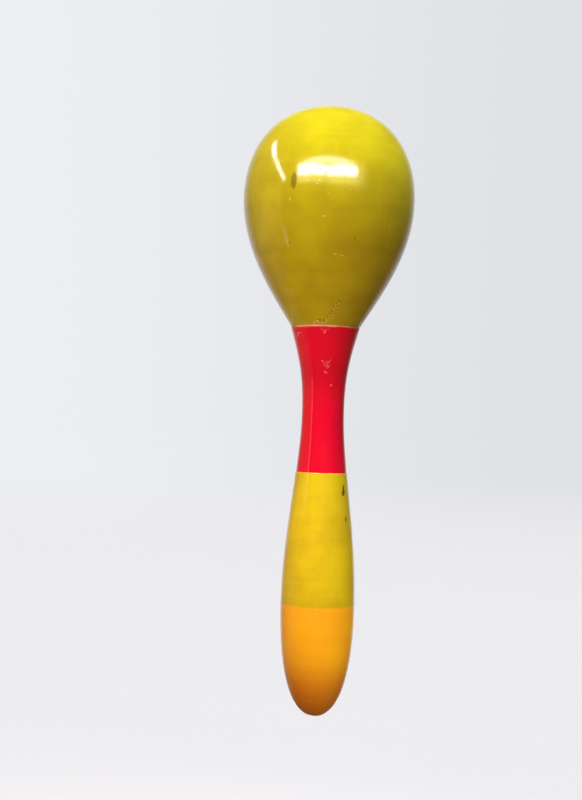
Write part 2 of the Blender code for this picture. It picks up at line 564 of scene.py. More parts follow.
YELLOW_LAC = LacFinish(
    colour=(0.667, 0.585, 0.011),
    shade=(0.497, 0.412, 0.009),
    gloss=0.07,
    smudged=0.05,
    uneven=0.9,
    thick=((0.0561, 0.030, 0.40), (0.1159, 0.026, -0.26)),
)
# Painted shade on the grip: darker towards its lower end.
GOLDEN_LAC = LacFinish(
    colour=(0.766, 0.597, 0.010),
    shade=(0.606, 0.432, 0.009),
    gloss=0.10,
    smudged=0.06,
    uneven=0.9,
    thick=((-0.0175, 0.035, 0.40),),
)
# Painted shade on the neck: darker in a belt round 43.6 mm up, and again over the lower neck down to the
# grip.
RED_LAC = LacFinish(
    colour=(0.96, 0.003, 0.040),
    shade=(0.60, 0.002, 0.018),
    gloss=0.07,
    smudged=0.05,
    uneven=0.225,
    thick=((0.0436, 0.0085, 0.42), (0.024, 0.020, 0.32)),
)
# Darker and redder towards the tip's end: partly the lac's own deeper orange, partly painted shade on the
# tip's underside.
ORANGE_LAC = LacFinish(
    colour=(0.991, 0.481, 0.011),
    shade=(0.751, 0.246, 0.010),
    gloss=0.20,
    smudged=0.08,
    uneven=0.35,
    thick=((-0.0425, 0.0135, 1.0),),
)


@dataclass(frozen=True)
class LacCoat:
    """A material of one or more lac bands over turned wood, with its marks of wear and its painted light and
    shade.

    Attributes:
        name: the material's name.
        effects: the shared groups.
        flecks: dark marks, where grain or a knot shows through, and painted shade in dents.
        scuffs: pale marks, where the coat is scratched or chipped.
        scuff_colour: of the pale marks and the dust.
        fleck_colour: of the dark marks.
        scuff_strength: how far the pale marks hide the lac.
        scuff_roughness: roughness that they add.
        scuff_depth: of the pale marks, in microns.
        dust: share of the specks' cells that hold a speck.
        dust_strength: of a speck beside a pale mark.
        ring_tone: how far the rings take the lac towards its shade.
        grain_tone: how far the grain does.
        smudge_tone: how far the smudges do.
        clean_tone: what is taken off the three together.
        ring_height: of the rings, in microns.
        peel_height: of the coat's dimples, in microns.
        peel_scale: dimples per metre.
    """

    name: str
    effects: Effects
    flecks: Sequence[Mark]
    scuffs: Sequence[Mark]
    scuff_colour: Colour
    fleck_colour: Colour = (0.33, 0.245, 0.003)
    scuff_strength: float = 0.8
    scuff_roughness: float = 0.3
    scuff_depth: float = 6.0
    dust: float = 0.10
    dust_strength: float = 0.3
    ring_tone: float = 0.85
    grain_tone: float = 0.12
    smudge_tone: float = 0.75
    clean_tone: float = 0.49
    ring_height: float = 1.5
    peel_height: float = 3.0
    peel_scale: float = 420.0

    def make(self, bands: Callable[[NodeSketch, Socket, Callable], tuple[Socket, Socket]]) -> Material:
        """Builds the material.

        Args:
            bands: draws the bands. It is given the nodes, the coordinates and a function that gives one
                finish's colour and roughness, and returns the colour and roughness of the whole surface.

        Returns:
            The material.
        """
        sketch = Dressing(self.name)
        vector = sketch.coordinates
        groups = (self.effects.lathe_rings, self.effects.wood_grain, self.effects.smudges)
        rings, grain, smudge = [self.effects.place(sketch, group, vector) for group in groups]
        tone = sketch.math("MULTIPLY", grain, self.grain_tone)
        tone = sketch.math("MULTIPLY_ADD", rings, self.ring_tone, tone)
        tone = sketch.math("SUBTRACT", tone, self.clean_tone)
        mottle = sketch.math("MULTIPLY_ADD", smudge, self.smudge_tone, tone, clamp=True)

        def coat(finish: LacFinish) -> tuple[Socket, Socket]:
            """Draws one finish.

            Args:
                finish: the lac.

            Returns:
                The sockets of its colour and roughness.
            """
            toned_and_shaded = sketch.math("MULTIPLY", mottle, finish.uneven)
            # Painted shade in bands along the axis takes the colour towards the shade; a share below 0 is
            # painted light, which takes it away.
            for height, reach, share in finish.thick:
                away = sketch.math("ABSOLUTE", sketch.math("SUBTRACT", sketch.parts(vector)[2], height))
                toned_and_shaded = sketch.math("MULTIPLY_ADD", sketch.step(away, reach, 0.0), share, toned_and_shaded, clamp=True)
            rough = sketch.math("MULTIPLY_ADD", smudge, finish.smudged, finish.gloss)
            return sketch.mix(toned_and_shaded, finish.colour, finish.shade), rough

        colour, rough = bands(sketch, vector, coat)
        dark = sketch.total(*[mark.draw(sketch, self.effects, vector) for mark in self.flecks])
        colour = sketch.mix(dark, colour, self.fleck_colour)
        dust = self.effects.place(sketch, self.effects.specks, vector, share=self.dust)
        pale = [mark.draw(sketch, self.effects, vector) for mark in self.scuffs]
        worn = sketch.total(sketch.math("MULTIPLY", dust, self.dust_strength), *pale)
        colour = sketch.mix(sketch.math("MULTIPLY", worn, self.scuff_strength), colour, self.scuff_colour)
        rough = sketch.math("MULTIPLY_ADD", worn, self.scuff_roughness, rough)
        dimples = sketch.noise(vector, self.peel_scale, detail=2.0)
        height = sketch.math("MULTIPLY", dimples, self.peel_height)
        height = sketch.math("MULTIPLY_ADD", rings, self.ring_height, height)
        height = sketch.math("MULTIPLY_ADD", worn, -self.scuff_depth, height)
        return sketch.cover(colour, rough, height)


@dataclass(frozen=True)
class WoodFinish:
    """Bare turned wood.

    Attributes:
        name: the material's name.
        light: colour between the grain lines.
        dark: colour of the grain lines.
        roughness: of the bare surface.
        grain_lines: lines of grain per metre.
        grain_length: their changes per metre along the axis.
        grain_depth: of the lines, in microns.
        tool_rings: marks of the tool per metre.
        tool_drift: their changes per metre across the axis.
        tool_height: of the marks, in microns.
        tool_roughness: roughness that they add.
    """

    name: str
    light: Colour
    dark: Colour
    roughness: float
    grain_lines: float = 1500.0
    grain_length: float = 120.0
    grain_depth: float = 15.0
    tool_rings: float = 2600.0
    tool_drift: float = 60.0
    tool_height: float = 12.0
    tool_roughness: float = 0.15

    def make(self, effects: Effects) -> Material:
        """Builds the material.

        Args:
            effects: the shared groups.

        Returns:
            The material.
        """
        sketch = Dressing(self.name)
        grain_values = {"lines": self.grain_lines, "length": self.grain_length}
        grain = effects.place(sketch, effects.wood_grain, sketch.coordinates, **grain_values)
        tool_values = {"rings": self.tool_rings, "drift": self.tool_drift}
        tool = effects.place(sketch, effects.lathe_rings, sketch.coordinates, **tool_values)
        rough = sketch.math("MULTIPLY_ADD", tool, self.tool_roughness, self.roughness)
        sunk = sketch.math("MULTIPLY", grain, -self.grain_depth)
        height = sketch.math("MULTIPLY_ADD", tool, self.tool_height, sunk)
        return sketch.cover(sketch.mix(grain, self.light, self.dark), rough, height)


@dataclass(frozen=True)
class GlueFinish:
    """Cured glue with traces of both lacs in it.

    Attributes:
        pale: colour where the bead is clean.
        stained: colour where it has picked up lac.
        roughness: of the clean bead.
        stain_roughness: roughness that a stain adds.
        stain_scale: stains per metre.
        grit_scale: bumps per metre.
        grit_height: of the bumps, in microns.
    """

    pale: Colour = (1.00, 0.62, 0.38)
    stained: Colour = (0.95, 0.38, 0.20)
    roughness: float = 0.42
    stain_roughness: float = 0.2
    stain_scale: float = 260.0
    grit_scale: float = 2400.0
    grit_height: float = 30.0

    def make(self, effects: Effects) -> Material:
        """Builds the material.

        Args:
            effects: the shared groups.

        Returns:
            The material.
        """
        sketch = Dressing("cured_glue")
        stain = effects.place(sketch, effects.smudges, sketch.coordinates, scale=self.stain_scale)
        rough = sketch.math("MULTIPLY_ADD", stain, self.stain_roughness, self.roughness)
        grit = sketch.noise(sketch.coordinates, self.grit_scale, detail=3.0)
        height = sketch.math("MULTIPLY", grit, self.grit_height)
        return sketch.cover(sketch.mix(stain, self.pale, self.stained), rough, height)


INSIDE_WOOD = WoodFinish("inside_wood", light=(0.62, 0.44, 0.26), dark=(0.40, 0.25, 0.13), roughness=0.55)
PELLET_WOOD = WoodFinish("pellet_wood", light=(0.55, 0.36, 0.19), dark=(0.30, 0.17, 0.08), roughness=0.50)


@dataclass
class TurnedHead:
    """The hollow egg-shaped head.

    Attributes:
        bottom: height of its end face.
        top: height of its crown.
        radius: at its widest.
        widest_height: where it is widest.
        end_radius: of its end face.
        end_round: radius of that face's outer edge.
        end_steps: spans of that edge's curve.
        bore_radius: of the hole that the tenon plugs.
        side_wall: thickness at the widest height.
        crown_wall: thickness at the crown.
        taper_angle: between its side and the axis at the end face.
        crown_fullness_across: how far the crown keeps level, as a share of the radius.
        crown_fullness_down: how far the side keeps upright above the widest height, as a share of the rise.
        belly_fullness: how far the side keeps upright below it, as a share of the drop.
        taper_fullness: how far the taper keeps its angle, as a share of the drop.
        flecks: its dark marks; the two dotted ones are painted shade in the crackle's dents.
        specks: its pale marks.
        scuff_colour: of the pale marks.
    """

    bottom: float
    top: float
    radius: float
    widest_height: float = 0.0909
    end_radius: float = 0.00925
    end_round: float = 0.00008
    end_steps: int = 6
    bore_radius: float = 0.00655
    side_wall: float = 0.0050
    crown_wall: float = 0.0060
    taper_angle: float = math.radians(32.5)
    crown_fullness_across: float = 0.636
    crown_fullness_down: float = 0.577
    belly_fullness: float = 0.40
    taper_fullness: float = 0.29
    flecks: tuple[Mark, ...] = (
        Mark(-0.00963, 0.0917, 0.0024, 0.00086, 87.0, 0.30),
        Mark(0.00627, 0.0775, 0.00035, 0.00020, 60.0, 0.2),
        Mark(-0.0102, 0.0765, 0.00030, 0.00020, 30.0, 0.2),
        # The two dotted dark marks sit between the dots of the same two pale marks below: painted shade in
        # the crackle's dents.
        Mark(0.00200, 0.0609, 0.0036, 0.00050, 51.0, 0.4, 1.0, True),
        Mark(-0.0018, 0.0574, 0.0028, 0.00060, 8.0, 0.4, 1.0, True),
    )
    specks: tuple[Mark, ...] = (
        Mark(-0.01047, 0.0870, 0.0006, 0.00018, 120.0, 0.2),
        Mark(-0.0018, 0.08266, 0.0006, 0.00020, 20.0, 0.3),
        Mark(0.00134, 0.07365, 0.0006, 0.00017, 0.0, 0.2),
        Mark(0.0030, 0.0734, 0.0009, 0.00012, -8.0, 0.4, 0.6),
        Mark(0.0153, 0.0818, 0.0003, 0.00015, 90.0, 0.3),
        Mark(0.00200, 0.0609, 0.0036, 0.00045, 51.0, 0.4, 1.0),
        Mark(-0.0018, 0.0574, 0.0028, 0.00055, 8.0, 0.4, 1.0),
        Mark(0.00372, 0.0966, 0.00024, 0.00016, 60.0),
        Mark(0.00488, 0.0966, 0.00020, 0.00016, 30.0),
        Mark(0.00309, 0.0940, 0.00024, 0.00018, 20.0),
        Mark(-0.00537, 0.0964, 0.00022, 0.00016, 45.0),
        Mark(-0.00124, 0.0933, 0.00022, 0.00016, 10.0),
        Mark(-0.00684, 0.0925, 0.00030, 0.00018, 50.0),
        Mark(-0.00619, 0.0917, 0.00034, 0.00018, 40.0),
        Mark(-0.00336, 0.0915, 0.00028, 0.00016, 0.0),
        Mark(-0.00381, 0.0908, 0.00030, 0.00018, 75.0),
        Mark(-0.00094, 0.0883, 0.00024, 0.00014, 20.0),
        Mark(0.00469, 0.0893, 0.00034, 0.00014, 15.0),
    )
    scuff_colour: Colour = (0.92, 0.74, 0.12)

    @classmethod
    def from_frame(cls) -> TurnedHead:
        """The head at the size that the frame gives it."""
        low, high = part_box("head_shell")
        return cls(bottom=low.z, top=high.z, radius=high.x)

    def outside(self) -> list[Stretch]:
        """The egg from the crown to the inner edge of its end face.

        Returns:
            The runs in order.
        """
        rise = self.top - self.widest_height
        drop = self.widest_height - self.bottom
        crown = bend(
            (0.0, self.top),
            (self.crown_fullness_across * self.radius, self.top),
            (self.radius, self.widest_height + self.crown_fullness_down * rise),
            (self.radius, self.widest_height),
        )
        reach = self.taper_fullness * drop
        end = (self.end_radius, self.bottom + self.end_round)
        belly = bend(
            (self.radius, self.widest_height),
            (self.radius, self.widest_height - self.belly_fullness * drop),
            (end[0] + reach * math.sin(self.taper_angle), end[1] + reach * math.cos(self.taper_angle)),
            end,
        )
        inset = self.end_radius - self.end_round
        edge = arc((inset, end[1]), self.end_round, self.end_round, 0.0, -math.pi / 2, self.end_steps)
        return [
            Stretch(tuple(crown)),
            Stretch(tuple(belly)),
            Stretch(tuple(edge)),
            Stretch(((inset, self.bottom), (self.bore_radius, self.bottom)), Surface.BARE_WOOD),
        ]

    def inside(self) -> list[Stretch]:
        """The bore, the chamber's round bottom and its dome.

        Returns:
            The runs in order.
        """
        reach = self.radius - self.side_wall
        middle = (0.0, self.widest_height)
        bottom = arc(middle, reach, reach, -math.acos(self.bore_radius / reach), 0.0)
        dome = arc(middle, reach, self.top - self.crown_wall - self.widest_height, 0.0, math.pi / 2)
        dome[-1] = (0.0, self.top - self.crown_wall)
        runs = [[(self.bore_radius, self.bottom), bottom[0]], bottom, dome]
        return [Stretch(tuple(run), Surface.BARE_WOOD) for run in runs]

    def build(self, effects: Effects) -> Piece:
        """Models the head and dresses it.

        Args:
            effects: the shared groups.

        Returns:
            The piece, on its body.
        """
        coat = LacCoat("yellow_lac", effects, self.flecks, self.specks, scuff_colour=self.scuff_colour)
        lac = coat.make(lambda sketch, vector, finish: finish(YELLOW_LAC))
        shape = turned_mesh(self.outside() + self.inside())
        head = piece_of("lac_head", shape, [lac, INSIDE_WOOD.make(effects)])
        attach(head, "rattle")
        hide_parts("head_shell")
        return head


@dataclass
class TurnedHandle:
    """The handle: a tenon, a red neck, a yellow grip and an orange tip in one turned piece.

    Attributes:
        tip: height of its lower end.
        tenon_end: height of the tenon's end.
        butt_radius: where the grip meets the tip, its widest.
        shoulder: height of the face under the glue.
        waist: height where the neck is thinnest.
        grip_top: height where red meets yellow.
        grip_bottom: height where yellow meets orange.
        neck_top_radius: at the shoulder.
        tenon_radius: of the tenon.
        tenon_chamfer: of the tenon's end.
        waist_radius: at the waist.
        grip_top_radius: of the red where it meets the yellow.
        rim_round: radius of the shoulder's edge.
        rim_steps: spans of that edge's curve.
        lac_step: how far the yellow coat stands proud of the red.
        step_round: radius of the yellow coat's edge.
        step_spans: spans of that edge's curve.
        neck_flare: between the neck's side and the axis at the shoulder.
        grip_taper: between the grip's side and the axis at its top.
        curve_fullness: how far a curve keeps its end's direction, as a share of its length.
        grip_top_fullness: the same for the grip's upper end.
        tip_fullness_down: the same for the tip's side.
        tip_fullness_across: how far the tip's end keeps level, as a share of the butt's radius.
        edge_scale: waves of the bands' edges per metre.
        edge_wobble: how far the waves move the edge under the red.
        soft_wobble: how far they move the edge above the orange.
        soft_edge: half the width over which orange turns to yellow.
        crisp_edge: half the width over which yellow turns to red.
        flecks: its dark marks.
        scuffs: its pale marks.
        fleck_colour: of the dark marks.
        scuff_colour: of the pale marks.
        scuff_strength: how far the pale marks hide the lac.
    """

    tip: float
    tenon_end: float
    butt_radius: float
    shoulder: float = 0.0561
    waist: float = 0.0341
    grip_top: float = 0.0175
    grip_bottom: float = -0.0175
    neck_top_radius: float = 0.00915
    tenon_radius: float = 0.00625
    tenon_chamfer: float = 0.0008
    waist_radius: float = 0.0057
    grip_top_radius: float = 0.0068
    rim_round: float = 0.00018
    rim_steps: int = 8
    lac_step: float = 0.00015
    step_round: float = 0.00014
    step_spans: int = 5
    neck_flare: float = math.radians(16.5)
    grip_taper: float = math.radians(5.3)
    curve_fullness: float = 0.40
    grip_top_fullness: float = 0.18
    tip_fullness_down: float = 0.67
    tip_fullness_across: float = 0.63
    edge_scale: float = 700.0
    edge_wobble: float = 0.00022
    soft_wobble: float = 0.00088
    soft_edge: float = 0.00030
    crisp_edge: float = 0.00005
    flecks: tuple[Mark, ...] = (
        Mark(0.00588, 0.0124, 0.0010, 0.00050, 90.0, 0.2),
        Mark(0.00584, 0.0136, 0.0010, 0.00026, 90.0, 0.2),
        Mark(0.00673, 0.0054, 0.0009, 0.00024, 90.0, 0.2),
    )
    scuffs: tuple[Mark, ...] = (
        Mark(0.00000, 0.0467, 0.0010, 0.00012, 46.0, 0.4, 0.4),
        Mark(0.00045, 0.0464, 0.0013, 0.00012, 52.0, 0.4, 0.5),
        Mark(0.00090, 0.0465, 0.0017, 0.00010, 60.0, 0.4, 0.7),
        Mark(0.00098, 0.0457, 0.0010, 0.00010, 54.0, 0.4, 0.6),
        Mark(-0.00073, 0.0471, 0.0004, 0.00022, 135.0, 0.4),
        Mark(0.00082, 0.0457, 0.00030, 0.00024, 45.0, 0.3),
        Mark(-0.00003, 0.0443, 0.00028, 0.00022, 120.0, 0.3),
        Mark(0.00043, 0.0441, 0.00032, 0.00020, 50.0, 0.3),
        Mark(0.00173, 0.0408, 0.00045, 0.00020, 55.0, 0.3),
        Mark(-0.0071, 0.0545, 0.0009, 0.00025, 10.0, 0.5, 0.4),
        Mark(-0.0074, 0.0539, 0.0007, 0.00022, 70.0, 0.5, 0.5),
        Mark(-0.00038, 0.0546, 0.00040, 0.00030, 60.0, 0.5),
        Mark(0.00005, 0.0552, 0.0011, 0.00030, 25.0, 0.7, 0.8),
        Mark(-0.0010, 0.0552, 0.0007, 0.00028, 150.0, 0.7, 0.8),
        Mark(-0.00070, -0.01909, 0.00018, 0.00015, 45.0, 0.3),
        Mark(-0.00171, -0.02031, 0.00018, 0.00015, 60.0, 0.3),
        Mark(-0.00139, -0.04238, 0.00022, 0.00017, 30.0, 0.3),
    )
    fleck_colour: Colour = (0.20, 0.110, 0.002)
    scuff_colour: Colour = (1.0, 0.62, 0.72)
    scuff_strength: float = 0.25

    @classmethod
    def from_frame(cls) -> TurnedHandle:
        """The handle at the size that the frame gives it."""
        low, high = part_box("handle")
        return cls(tip=low.z, tenon_end=high.z, butt_radius=high.x)

    def tenon(self) -> list[Stretch]:
        """The bare tenon and the flat of the shoulder.

        Returns:
            Their one run.
        """
        run = [
            (0.0, self.tenon_end),
            (self.tenon_radius - self.tenon_chamfer, self.tenon_end),
            (self.tenon_radius, self.tenon_end - self.tenon_chamfer),
            (self.tenon_radius, self.shoulder),
            (self.neck_top_radius - self.rim_round, self.shoulder),
        ]
        return [Stretch(tuple(run), Surface.BARE_WOOD)]

    def neck(self) -> list[Stretch]:
        """The rim and the neck down to the edge of the red.

        Returns:
            The runs in order.
        """
        rim_height = self.shoulder - self.rim_round
        rim_centre = (self.neck_top_radius - self.rim_round, rim_height)
        rim = arc(rim_centre, self.rim_round, self.rim_round, math.pi / 2, 0.0, self.rim_steps)
        flare_reach = self.curve_fullness * (self.shoulder - self.waist)
        upper = bend(
            (self.neck_top_radius, rim_height),
            (
                self.neck_top_radius - flare_reach * math.sin(self.neck_flare),
                rim_height - flare_reach * math.cos(self.neck_flare),
            ),
            (self.waist_radius, self.waist + flare_reach),
            (self.waist_radius, self.waist),
        )
        reach = self.curve_fullness * (self.waist - self.grip_top)
        lower = bend(
            (self.waist_radius, self.waist),
            (self.waist_radius, self.waist - reach),
            (self.grip_top_radius - math.tan(self.grip_taper) * reach, self.grip_top + reach),
            (self.grip_top_radius, self.grip_top),
        )
        return [Stretch(tuple(run)) for run in (rim, upper, lower)]

    def grip_and_tip(self) -> list[Stretch]:
        """The thicker yellow coat from its rounded edge down, and the tip.

        Returns:
            The runs in order.
        """
        coat_radius = self.grip_top_radius + self.lac_step
        edge_centre = (coat_radius - self.step_round, self.grip_top - self.step_round)
        edge = arc(edge_centre, self.step_round, self.step_round, math.pi / 2, 0.0, self.step_spans)
        edge.insert(0, (self.grip_top_radius, self.grip_top))
        length = self.grip_top - self.step_round - self.grip_bottom
        reach = self.grip_top_fullness * length
        grip = bend(
            edge[-1],
            (coat_radius + math.tan(self.grip_taper) * reach, edge[-1][1] - reach),
            (self.butt_radius, self.grip_bottom + self.curve_fullness * length),
            (self.butt_radius, self.grip_bottom),
        )
        drop = self.grip_bottom - self.tip
        tip = bend(
            (self.butt_radius, self.grip_bottom),
            (self.butt_radius, self.grip_bottom - self.tip_fullness_down * drop),
            (self.tip_fullness_across * self.butt_radius, self.tip),
            (0.0, self.tip),
        )
        return [Stretch(tuple(run)) for run in (edge, grip, tip)]

    def bands(self, sketch: NodeSketch, vector: Socket, coat: Callable) -> tuple[Socket, Socket]:
        """Draws the three bands, with a crisp edge under the red and a soft one above the orange.

        Args:
            sketch: the material's nodes.
            vector: the coordinates.
            coat: gives one finish's colour and roughness.

        Returns:
            The sockets of the colour and of the roughness.
        """
        height = sketch.parts(vector)[2]
        uneven = sketch.math("SUBTRACT", sketch.noise(vector, self.edge_scale, detail=3.0), 0.5)
        wavy = sketch.math("MULTIPLY_ADD", uneven, self.edge_wobble, height)
        wavier = sketch.math("MULTIPLY_ADD", uneven, self.soft_wobble, height)
        red_share = sketch.step(wavy, self.grip_top - self.crisp_edge, self.grip_top + self.crisp_edge)
        not_orange = sketch.step(wavier, self.grip_bottom - self.soft_edge, self.grip_bottom + self.soft_edge)
        colour, rough = coat(ORANGE_LAC)
        for share, finish in ((not_orange, GOLDEN_LAC), (red_share, RED_LAC)):
            band_colour, band_rough = coat(finish)
            colour = sketch.mix(share, colour, band_colour)
            change = sketch.math("SUBTRACT", band_rough, rough)
            rough = sketch.math("MULTIPLY_ADD", share, change, rough)
        return colour, rough

    def build(self, effects: Effects) -> Piece:
        """Models the handle and dresses it.

        Args:
            effects: the shared groups.

        Returns:
            The piece, on its body.
        """
        coat = LacCoat(
            "banded_lac",
            effects,
            self.flecks,
            self.scuffs,
            fleck_colour=self.fleck_colour,
            scuff_colour=self.scuff_colour,
            scuff_strength=self.scuff_strength,
        )
        lac = coat.make(self.bands)
        shape = turned_mesh(self.tenon() + self.neck() + self.grip_and_tip())
        handle = piece_of("lac_handle", shape, [lac, INSIDE_WOOD.make(effects)])
        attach(handle, "rattle")
        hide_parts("handle")
        return handle


@dataclass
class GlueBead:
    """The thin bead of glue that shows between head and neck.

    Attributes:
        bottom: height of its lower face.
        top: height of its upper face.
        inner_radius: of the film round the tenon.
        outer_radius: of the bead where it has squeezed out.
        squeezed: how far the bead reaches above and below the film.
        unevenness: most that its edge swells out or draws in.
        waves: how many waves of each kind go round its edge.
        edge_steps: spans of its edge's curve.
        seed: of the places of the waves.
    """

    bottom: float
    top: float
    inner_radius: float = 0.00655
    outer_radius: float = 0.00918
    squeezed: float = 0.00008
    unevenness: float = 0.00005
    waves: tuple[int, ...] = (3, 7, 11, 19)
    edge_steps: int = 8
    seed: int = 7

    @classmethod
    def from_frame(cls) -> GlueBead:
        """The bead between the faces that the frame gives it."""
        low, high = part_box("glue_line")
        return cls(bottom=low.z, top=high.z)

    def build(self, effects: Effects) -> Piece:
        """Models the bead with an uneven squeezed-out edge and dresses it.

        Args:
            effects: the shared groups.

        Returns:
            The piece, on its body.
        """
        half = (self.top - self.bottom) / 2 + self.squeezed
        middle = (self.top + self.bottom) / 2
        edge_centre = (self.outer_radius - half, middle)
        edge = arc(edge_centre, half, half, math.pi / 2, -math.pi / 2, self.edge_steps)
        section = [(self.inner_radius, self.top), *edge, (self.inner_radius, self.bottom)]
        shape = turned_mesh([Stretch(tuple(section + section[:1]))])
        chance = random.Random(self.seed)
        phases = [(turns, chance.uniform(0.0, math.tau)) for turns in self.waves]
        for vert in shape.verts:
            radius = vert.co.xy.length
            if radius > self.outer_radius - half:
                turn = math.atan2(vert.co.y, vert.co.x)
                swell = sum(math.sin(turns * turn + phase) for turns, phase in phases) / len(phases)
                vert.co.xy *= 1.0 + self.unevenness * swell / radius
        bead = piece_of("glue_bead", shape, [GlueFinish().make(effects)])
        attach(bead, "rattle")
        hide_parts("glue_line")
        return bead


@dataclass
class Pellets:
    """The loose pellets, tumbled from short lengths of dowel.

    Attributes:
        names: the pellets' nodes.
        squash: most that a pellet is short of a ball, as a share.
        dent: most that a flat is sunk into a pellet, as a share.
        least_dent: least that a flat is sunk, as a share of the most.
        flats: on each pellet.
        smoothing: how far the edges of the flats are evened out.
        fineness: how often the ball's faces are divided.
        seed: of the flats, the squash and the turns.
    """

    names: Sequence[str]
    squash: float = 0.06
    dent: float = 0.05
    least_dent: float = 0.3
    flats: int = 9
    smoothing: float = 0.5
    fineness: int = 4
    seed: int = 23

    @classmethod
    def from_frame(cls, nodes: dict[str, Piece]) -> Pellets:
        """All the pellets that the frame holds."""
        return cls(names=sorted(name for name in nodes if name.startswith("pellet_")))

    def _pebble(self, centre: Vector, radius: float, chance: random.Random) -> Shape:
        """One pellet with tumbled flats, inside its ball.

        Args:
            centre: its middle.
            radius: of the ball that it stays inside.
            chance: where its flats and turn come from.

        Returns:
            Its mesh in place.
        """
        shape = bmesh.new()
        bmesh.ops.create_icosphere(shape, subdivisions=self.fineness, radius=1.0)
        for _ in range(self.flats):
            facing = Vector([chance.gauss(0.0, 1.0) for _ in range(3)]).normalized()
            depth = 1.0 - chance.uniform(self.least_dent, 1.0) * self.dent
            for vert in shape.verts:
                over = vert.co.dot(facing) - depth
                if over > 0.0:
                    vert.co -= facing * over
        axes = {"use_axis_" + axis: True for axis in "xyz"}
        bmesh.ops.smooth_vert(shape, verts=shape.verts, factor=self.smoothing, **axes)
        stretch = Vector([1.0] + [1.0 - chance.uniform(0.0, self.squash) for _ in range(2)])
        turn = Euler([chance.uniform(0.0, math.tau) for _ in range(3)]).to_matrix().to_4x4()
        bmesh.ops.scale(shape, vec=stretch * radius, verts=shape.verts)
        bmesh.ops.transform(shape, matrix=Matrix.Translation(centre) @ turn, verts=shape.verts)
        return shape

    def build(self, effects: Effects) -> list[Piece]:
        """Models the pellets and dresses them.

        Args:
            effects: the shared groups.

        Returns:
            The pieces, each on its own body.
        """
        wood = PELLET_WOOD.make(effects)
        chance = random.Random(self.seed)
        made = []
        for name in self.names:
            low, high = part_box(name)
            shape = self._pebble((low + high) / 2, (high.z - low.z) / 2, chance)
            pellet = piece_of("tumbled_" + name, shape, [wood])
            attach(pellet, "loose_" + name)
            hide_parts(name)
            made.append(pellet)
        return made


WHITE = (1.0, 1.0, 0.97)
CREAM = (1.0, 0.92, 0.95)
WARM = (1.0, 0.90, 0.30)
LEMON = (1.0, 0.88, 0.08)


@dataclass(frozen=True)
class Lamp:
    """A rectangular soft lamp.

    Attributes:
        name: of the lamp.
        bearing: angle round the axis from the front, positive to the right, in degrees.
        rise: angle above the level, in degrees.
        distance: from the point that it faces.
        size: its width and height.
        radiance: of its face.
        colour: of its light.
        reach: what it acts on.
        roll: turn of its width from the level, in degrees.
        aim: height on the axis of the point that it faces.
        feather: shares of its width and height over which it fades out at the edges.
        ragged: how uneven those edges are.
        ragged_scale: waves of those edges along each side.
        tail: share of its width over which it also fades out towards its left end.
    """

    name: str
    bearing: float
    rise: float
    distance: float
    size: tuple[float, float]
    radiance: float
    colour: Colour
    reach: LampReach
    roll: float = 0.0
    aim: float = 0.0912
    feather: tuple[float, float] = (0.0, 0.0)
    ragged: float = 0.0
    ragged_scale: float = 6.0
    tail: float = 0.0

    def _soften(self, data: bpy.types.AreaLight) -> None:
        """Fades the light out towards the lamp's edges.

        Args:
            data: the lamp's settings.
        """
        data.use_nodes = True
        sketch = NodeSketch(data.node_tree)
        face = sketch.add("NewGeometry").outputs["Parametric"]
        uneven = sketch.math("SUBTRACT", sketch.noise(face, self.ragged_scale, detail=3.0), 0.5)
        inside = []
        for place, reach in zip(sketch.parts(face), self.feather):
            off_middle = sketch.math("ABSOLUTE", sketch.math("SUBTRACT", place, 0.5))
            off_middle = sketch.math("MULTIPLY_ADD", uneven, self.ragged, off_middle)
            inside.append(sketch.step(off_middle, 0.5, 0.5 - reach))
        share = sketch.math("MULTIPLY", *inside)
        if self.tail:
            share = sketch.math("MULTIPLY", share, sketch.step(sketch.parts(face)[0], 0.0, self.tail))
        sketch.feed(data.node_tree.nodes["Emission"].inputs["Strength"], share)

    def hang(self) -> Piece:
        """Hangs the lamp so that it faces its point on the axis.

        Returns:
            The lamp.
        """
        data = bpy.data.lights.new(self.name, "AREA")
        data.shape = "RECTANGLE"
        data.size, data.size_y = self.size
        data.energy = self.radiance * math.pi * self.size[0] * self.size[1]
        data.color = self.colour
        if any(self.feather):
            self._soften(data)
        round_axis = Matrix.Rotation(math.radians(self.bearing), 4, "Z")
        lifted = Matrix.Rotation(math.pi / 2 - math.radians(self.rise), 4, "X")
        rolled = Matrix.Rotation(math.radians(self.roll), 4, "Z")
        away = Matrix.Translation((0.0, 0.0, self.distance))
        lamp = bpy.data.objects.new(self.name, data)
        lamp.matrix_world = Matrix.Translation((0.0, 0.0, self.aim)) @ round_axis @ lifted @ away @ rolled
        lamp.visible_camera = False
        lamp.visible_diffuse = self.reach is LampReach.COLOUR
        lamp.visible_glossy = self.reach is LampReach.GLOSS
        data.cycles.use_multiple_importance_sampling = lamp.visible_glossy
        bpy.context.scene.collection.objects.link(lamp)
        return lamp


@dataclass(frozen=True)
class KeyLight:
    """The even soft light from above, which colours everything alike however far it is.

    Attributes:
        bearing: angle round the axis from the front, positive to the right, in degrees.
        rise: angle above the level, in degrees.
        spread: width of the sky that it comes from, in degrees.
        strength: light on a face that is square to it, as a share of what shows a colour as written.
    """

    bearing: float = 8.0
    rise: float = 74.0
    spread: float = 45.0
    strength: float = 1.50

    def hang(self) -> Piece:
        """Hangs the light.

        Returns:
            The lamp.
        """
        data = bpy.data.lights.new("key", "SUN")
        data.energy = self.strength * math.pi
        data.angle = math.radians(self.spread)
        lamp = bpy.data.objects.new("key", data)
        round_axis = Matrix.Rotation(math.radians(self.bearing), 4, "Z")
        lamp.matrix_world = round_axis @ Matrix.Rotation(math.radians(90.0 - self.rise), 4, "X")
        lamp.visible_glossy = False
        data.cycles.use_multiple_importance_sampling = False
        bpy.context.scene.collection.objects.link(lamp)
        return lamp


